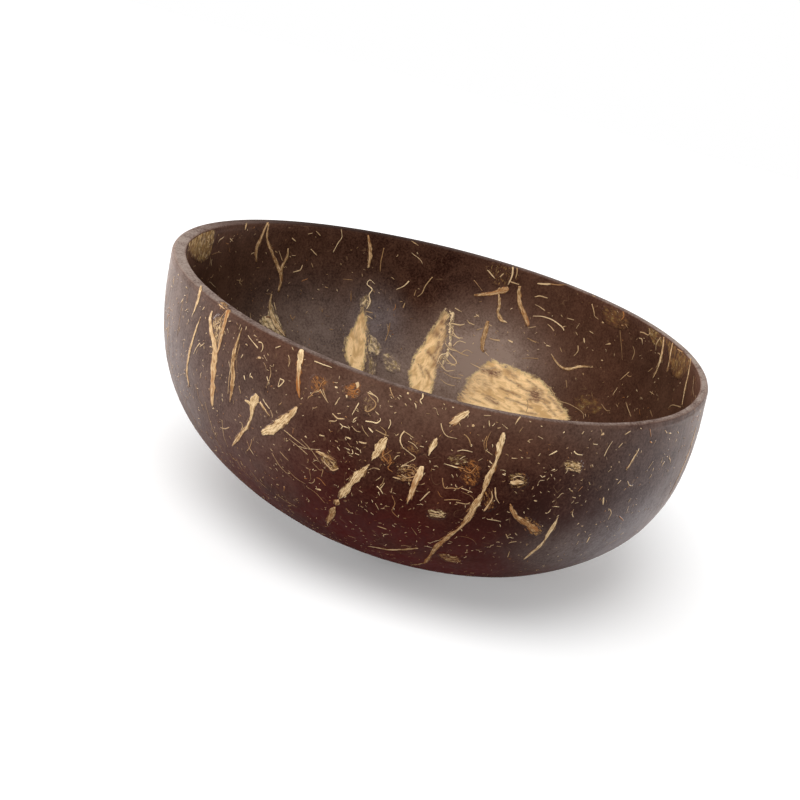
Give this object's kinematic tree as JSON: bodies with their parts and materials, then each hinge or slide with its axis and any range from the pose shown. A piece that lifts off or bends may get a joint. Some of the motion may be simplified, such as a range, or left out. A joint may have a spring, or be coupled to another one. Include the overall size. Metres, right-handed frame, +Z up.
{
  "type": "coconut shell bowl",
  "caption": "Open bowl cut from a coconut's hard shell, with a level rim, a flat sanded underneath and pale fibre strands grown into its polished brown wall.",
  "frame": {"origin": "on the resting plane, straight under the middle of the cut rim, inside the flat that the bowl stands on", "axes": "+Z up out of the bowl's mouth, -Y towards the viewer of the picture, +X to the viewer's right along the rim's plane"},
  "size_m": [0.1408, 0.141, 0.06],
  "materials": {
    "shell": "satin",
    "strands": "satin",
    "skin": "matte"
  },
  "bodies": {
    "root": {"shell": "shell", "outer_strands": "strands", "inner_strands": "strands", "inner_skin": "skin"}
  },
  "joints": []
}
